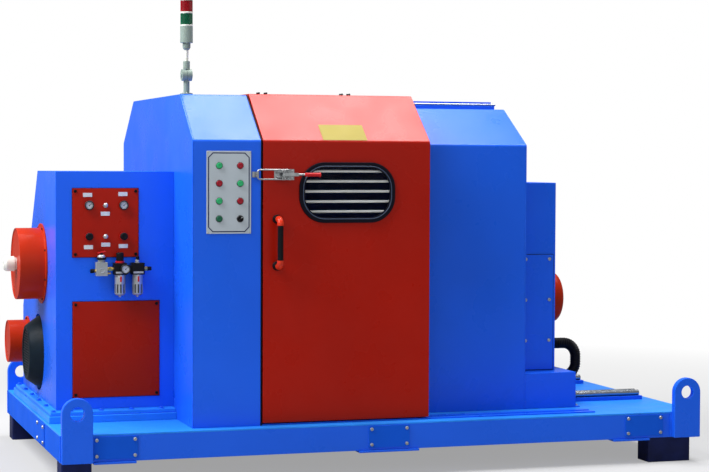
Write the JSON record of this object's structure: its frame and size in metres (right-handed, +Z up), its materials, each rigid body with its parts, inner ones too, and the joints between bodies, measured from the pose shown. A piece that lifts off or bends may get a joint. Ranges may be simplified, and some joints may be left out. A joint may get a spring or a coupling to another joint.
{
  "type": "single twist stranding machine",
  "caption": "Wire stranding machine on a skid base: sheet hood with a sliding windowed door, end headstocks, air panel, push buttons and a folding signal tower.",
  "frame": {"origin": "centre of the bounding box at floor level, under the middle of the machine", "axes": "+X along the machine from the wire inlet end, +Y from the front (door) to the rear, +Z up"},
  "size_m": [2.995, 1.682, 2.032],
  "materials": {
    "blue_paint": "satin enamel",
    "red_paint": "satin enamel",
    "block_paint": "dark satin enamel",
    "rail_steel": "ground",
    "latch_steel": "zinc plated",
    "plate_metal": "anodised",
    "brass_fittings": "turned",
    "valve_metal": "die cast",
    "black_rubber": "matt",
    "black_plastic": "moulded",
    "cowl_plastic": "moulded",
    "white_plastic": "turned",
    "grey_plastic": "moulded",
    "red_plastic": "moulded",
    "bowl_metal": "anodised guard",
    "gauge_metal": "bezel",
    "button_plastic": "moulded",
    "lens_plastic": "clear moulded",
    "window_glass": "clear",
    "guard_paint": "satin enamel"
  },
  "bodies": {
    "frame": {"foot_blocks": "block_paint", "base_deck": "blue_paint", "base_side_members": "blue_paint", "base_end_members": "blue_paint", "base_cross_members": "blue_paint", "base_cover_plates": "blue_paint", "base_pad_plates": "blue_paint", "lifting_lugs": "blue_paint", "headstock_plinth": "blue_paint", "headstock_flange": "blue_paint", "headstock_housing": "blue_paint", "upper_drum_cover": "red_paint", "lower_drum_cover": "red_paint", "wire_guide_nozzle": "white_plastic", "motor_fan_cowl": "cowl_plastic", "gauge_panel": "red_paint", "access_panel": "red_paint", "pressure_gauges": "gauge_metal", "panel_knobs": "black_plastic", "shutoff_valve": "valve_metal", "air_fittings": "brass_fittings", "air_service_unit": "black_plastic", "air_bowls": "bowl_metal", "hood_left_shell": "blue_paint", "hood_right_shell": "blue_paint", "hood_end_walls": "blue_paint", "hood_rear_panel": "blue_paint", "door_seal": "black_rubber", "rail_beams": "blue_paint", "door_rail": "rail_steel", "floor_guide": "blue_paint", "latch_keeper": "latch_steel", "control_plate": "plate_metal", "push_buttons": "button_plastic", "right_headstock": "blue_paint", "right_access_cover": "blue_paint", "right_drum_cover": "red_paint", "terminal_box": "blue_paint", "conduit": "black_plastic", "deck_rail_supports": "blue_paint", "deck_rails": "rail_steel", "tower_bracket": "grey_plastic"},
    "door": {"door_shell": "red_paint", "window_gasket": "black_rubber", "window_glass": "window_glass", "window_guard": "guard_paint", "handle_bar": "black_plastic", "handle_ends": "red_plastic", "door_carriages": "latch_steel", "latch_base": "latch_steel"},
    "latch_lever": {"latch_lever": "latch_steel", "latch_grip": "red_plastic"},
    "latch_bail": {"latch_bail": "latch_steel"},
    "tower": {"tower_pole": "grey_plastic", "tower_body": "grey_plastic", "tower_lenses": "lens_plastic"}
  },
  "joints": [
    {"name": "door_slide", "type": "slide", "parent": "frame", "child": "door", "axis": [1, 0, 0], "range_m": [0, 0.69]},
    {"name": "latch_turn", "type": "hinge", "parent": "door", "child": "latch_lever", "pos_m": [-0.4275, -0.779, 1.285], "axis": [0, 0, -1], "range_deg": [0, 140]},
    {"name": "bail_turn", "type": "hinge", "parent": "latch_lever", "child": "latch_bail", "pos_m": [-0.4035, -0.779, 1.285], "axis": [0, 0, -1], "range_deg": [-140, 0]},
    {"name": "tower_fold", "type": "hinge", "parent": "frame", "child": "tower", "pos_m": [-0.7725, -0.451, 1.709], "axis": [-1, 0, 0], "range_deg": [0, 90]}
  ],
  "couplings": [
    {"joint": "bail_turn", "follows": "latch_turn", "ratio": -1}
  ]
}
